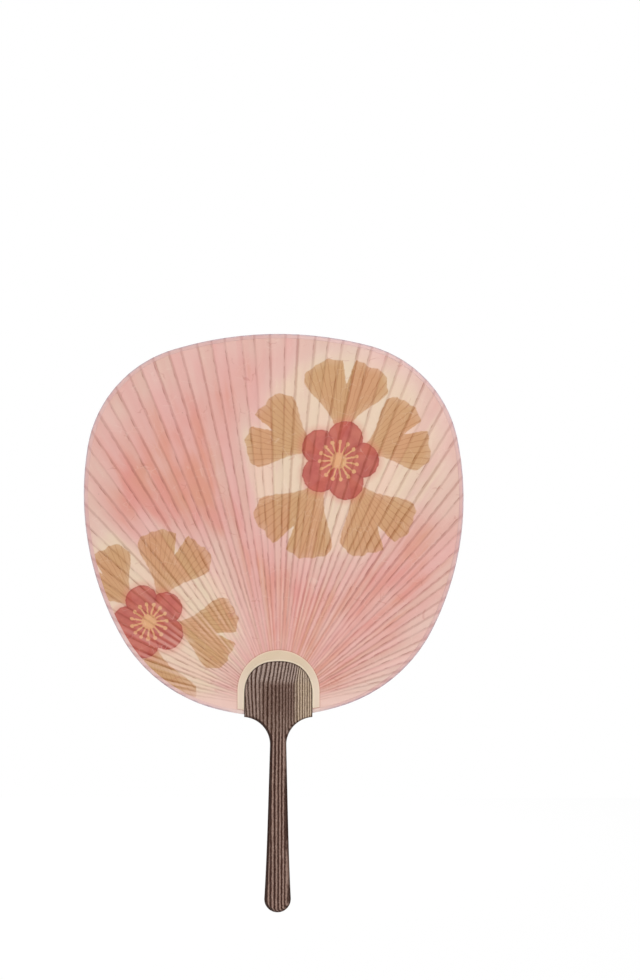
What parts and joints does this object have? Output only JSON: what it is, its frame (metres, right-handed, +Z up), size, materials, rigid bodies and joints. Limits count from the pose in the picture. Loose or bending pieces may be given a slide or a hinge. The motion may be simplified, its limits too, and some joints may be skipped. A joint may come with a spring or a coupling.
{
  "type": "round uchiwa fan",
  "caption": "Rigid hand fan: a rounded paper leaf pasted on both sides of radiating bamboo ribs, set in the slotted head of a slim flat wooden handle.",
  "frame": {"origin": "middle of the grip, on the handle's own middle line and in the ribs' middle plane", "axes": "+X to the right seen from the printed front, -Y out of the printed front, +Z up from the handle to the leaf"},
  "size_m": [0.2407, 0.008, 0.3662],
  "materials": {
    "handle_wood": "satin open-grained wood with dark growth rings",
    "print_paper": "matt dyed and printed fibre paper",
    "back_paper": "matt dyed fibre paper",
    "edge_paper": "matt thin paper",
    "collar_paper": "smooth cream paper",
    "bamboo": "split bamboo"
  },
  "bodies": {
    "root": {"handle": "handle_wood", "front_paper": "print_paper", "back_paper": "back_paper", "edge_binding": "edge_paper", "front_collar": "collar_paper", "back_collar": "collar_paper", "rib_centre": "bamboo", "ribs_left_01": "bamboo", "ribs_left_02": "bamboo", "ribs_left_03": "bamboo", "ribs_left_04": "bamboo", "ribs_left_05": "bamboo", "ribs_left_06": "bamboo", "ribs_left_07": "bamboo", "ribs_left_08": "bamboo", "ribs_left_09": "bamboo", "ribs_left_10": "bamboo", "ribs_left_11": "bamboo", "ribs_left_12": "bamboo", "ribs_left_13": "bamboo", "ribs_left_14": "bamboo", "ribs_left_15": "bamboo", "ribs_left_16": "bamboo", "ribs_right_01": "bamboo", "ribs_right_02": "bamboo", "ribs_right_03": "bamboo", "ribs_right_04": "bamboo", "ribs_right_05": "bamboo", "ribs_right_06": "bamboo", "ribs_right_07": "bamboo", "ribs_right_08": "bamboo", "ribs_right_09": "bamboo", "ribs_right_10": "bamboo", "ribs_right_11": "bamboo", "ribs_right_12": "bamboo", "ribs_right_13": "bamboo", "ribs_right_14": "bamboo", "ribs_right_15": "bamboo", "ribs_right_16": "bamboo"}
  },
  "joints": []
}
